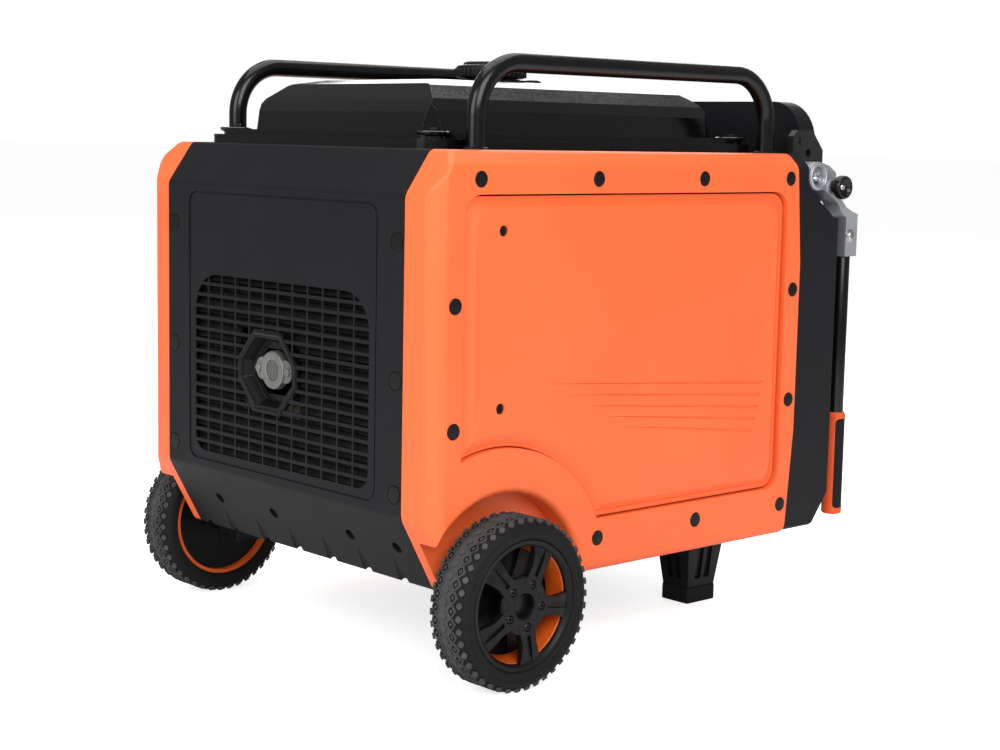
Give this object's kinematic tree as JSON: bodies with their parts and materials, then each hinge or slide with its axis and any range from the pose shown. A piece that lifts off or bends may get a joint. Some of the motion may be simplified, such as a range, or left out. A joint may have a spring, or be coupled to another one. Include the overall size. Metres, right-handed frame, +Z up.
{
  "type": "portable generator",
  "caption": "Closed-frame wheeled generator with moulded panels, service door, lifting bars, folding tow handles, grilled exhaust end and a socket panel.",
  "frame": {"origin": "middle of the object on the floor, at the bottom centre of its box", "axes": "+Z up, +X from the grille and wheel end towards the control end, +Y towards the closed side panel"},
  "size_m": [0.7546, 0.664, 0.7285],
  "materials": {
    "panel_orange": "satin moulded plastic with a fine grain",
    "panel_black": "matt moulded plastic with a fine grain",
    "tank_black": "glossy painted shell",
    "tube_black": "gloss powder-coated steel tube",
    "plate_black": "satin powder-coated steel",
    "cast_arm": "satin die-cast aluminium",
    "bright_steel": "zinc-plated steel",
    "dark_steel": "blackened steel fasteners",
    "tray_steel": "painted pressed steel",
    "engine_cast": "sand-cast aluminium",
    "iron": "cast iron",
    "heat_steel": "heat-stained sheet steel",
    "knob_black": "hard moulded plastic",
    "gloss_black": "smooth moulded plastic",
    "tyre_rubber": "tread rubber",
    "soft_rubber": "black rubber",
    "grip_orange": "orange rubber sleeve",
    "rim_orange": "moulded orange rim",
    "button_red": "red push button",
    "screen": "tinted window",
    "stud_brass": "brass"
  },
  "bodies": {
    "generator": {"base_tray": "tray_steel", "axle": "bright_steel", "axle_nuts": "bright_steel", "foot_legs": "panel_black", "foot_pads": "soft_rubber", "engine_block": "engine_cast", "cylinder_head": "engine_cast", "muffler": "heat_steel", "air_filter": "knob_black", "carburettor": "engine_cast", "stator": "iron", "inverter_module": "engine_cast", "battery": "knob_black", "grille_panel": "panel_black", "exhaust_outlet": "bright_steel", "side_panel_left": "panel_orange", "side_panel_right": "panel_orange", "panel_plugs": "knob_black", "door_hinge_bar": "plate_black", "door_hinge_pins": "bright_steel", "top_cover": "gloss_black", "cover_bolts": "dark_steel", "fuel_tank": "tank_black", "lift_handle_left": "tube_black", "lift_handle_right": "tube_black", "control_shell": "panel_black", "control_face": "panel_black", "display_window": "screen", "outlets": "gloss_black", "ground_stud": "stud_brass", "ground_nut": "stud_brass", "tow_brackets": "plate_black", "pivot_bolts": "bright_steel"},
    "rotor": {"rotor": "iron", "cooling_fan": "knob_black"},
    "door": {"service_door": "panel_orange", "door_screws": "dark_steel"},
    "fuel_cap": {"fuel_cap": "knob_black"},
    "vent_lever": {"vent_lever": "knob_black"},
    "start_button": {"start_button": "button_red"},
    "engine_knob": {"engine_knob": "knob_black"},
    "eco_rocker": {"eco_rocker": "gloss_black"},
    "breaker_rocker": {"breaker_rocker": "gloss_black"},
    "outlet_cover": {"outlet_cover": "knob_black"},
    "tow_left": {"tow_arm_left": "cast_arm", "tow_tube_left": "tube_black", "tow_grip_left": "grip_orange"},
    "tow_right": {"tow_arm_right": "cast_arm", "tow_tube_right": "tube_black", "tow_grip_right": "grip_orange"},
    "plunger_left": {"lock_plunger_left": "knob_black"},
    "plunger_right": {"lock_plunger_right": "knob_black"},
    "wheel_left": {"tyre_left": "tyre_rubber", "rim_left": "rim_orange", "hub_cover_left": "panel_black"},
    "wheel_right": {"tyre_right": "tyre_rubber", "rim_right": "rim_orange", "hub_cover_right": "panel_black"}
  },
  "joints": [
    {"name": "wheel_left_spin", "type": "hinge", "parent": "generator", "child": "wheel_left", "pos_m": [-0.2635, -0.303, 0.1016], "axis": [0, 1, 0], "continuous": true},
    {"name": "wheel_right_spin", "type": "hinge", "parent": "generator", "child": "wheel_right", "pos_m": [-0.2635, 0.303, 0.1016], "axis": [0, 1, 0], "continuous": true},
    {"name": "rotor_spin", "type": "hinge", "parent": "generator", "child": "rotor", "pos_m": [0.0435, -0.01, 0.25], "axis": [1, 0, 0], "continuous": true},
    {"name": "door_swing", "type": "hinge", "parent": "generator", "child": "door", "pos_m": [0.2055, -0.2791, 0.373], "axis": [0, 0, 1], "range_deg": [0, 90]},
    {"name": "cap_turn", "type": "hinge", "parent": "generator", "child": "fuel_cap", "pos_m": [-0.0375, 0, 0.715], "axis": [0, 0, 1], "range_deg": [0, 90]},
    {"name": "vent_turn", "type": "hinge", "parent": "generator", "child": "vent_lever", "pos_m": [-0.0375, 0, 0.703], "axis": [0, 0, 1], "range_deg": [0, 60]},
    {"name": "start_press", "type": "slide", "parent": "generator", "child": "start_button", "axis": [-1, 0, 0], "range_m": [0, 0.004], "stiffness_N_per_m": 400, "springref_m": -0.001},
    {"name": "engine_turn", "type": "hinge", "parent": "generator", "child": "engine_knob", "pos_m": [0.3265, -0.15, 0.42], "axis": [1, 0, 0], "range_deg": [0, 60]},
    {"name": "eco_rock", "type": "hinge", "parent": "generator", "child": "eco_rocker", "pos_m": [0.3125, -0.06, 0.42], "axis": [0, 1, 0], "range_deg": [-10, 10]},
    {"name": "breaker_rock", "type": "hinge", "parent": "generator", "child": "breaker_rocker", "pos_m": [0.3125, 0.03, 0.42], "axis": [0, 1, 0], "range_deg": [-10, 10]},
    {"name": "outlet_cover_lift", "type": "hinge", "parent": "generator", "child": "outlet_cover", "pos_m": [0.3245, 0.14, 0.344], "axis": [0, -1, 0], "range_deg": [0, 110], "stiffness_Nm_per_rad": 0.03, "springref_deg": -17.19},
    {"name": "tow_left_swing", "type": "hinge", "parent": "generator", "child": "tow_left", "pos_m": [0.2885, -0.277, 0.588], "axis": [0, -1, 0], "range_deg": [0, 90]},
    {"name": "tow_right_swing", "type": "hinge", "parent": "generator", "child": "tow_right", "pos_m": [0.2885, 0.277, 0.588], "axis": [0, -1, 0], "range_deg": [0, 90]},
    {"name": "plunger_left_pull", "type": "slide", "parent": "tow_left", "child": "plunger_left", "axis": [0, -1, 0], "range_m": [0, 0.01], "stiffness_N_per_m": 600, "springref_m": -0.003},
    {"name": "plunger_right_pull", "type": "slide", "parent": "tow_right", "child": "plunger_right", "axis": [0, 1, 0], "range_m": [0, 0.01], "stiffness_N_per_m": 600, "springref_m": -0.003}
  ]
}
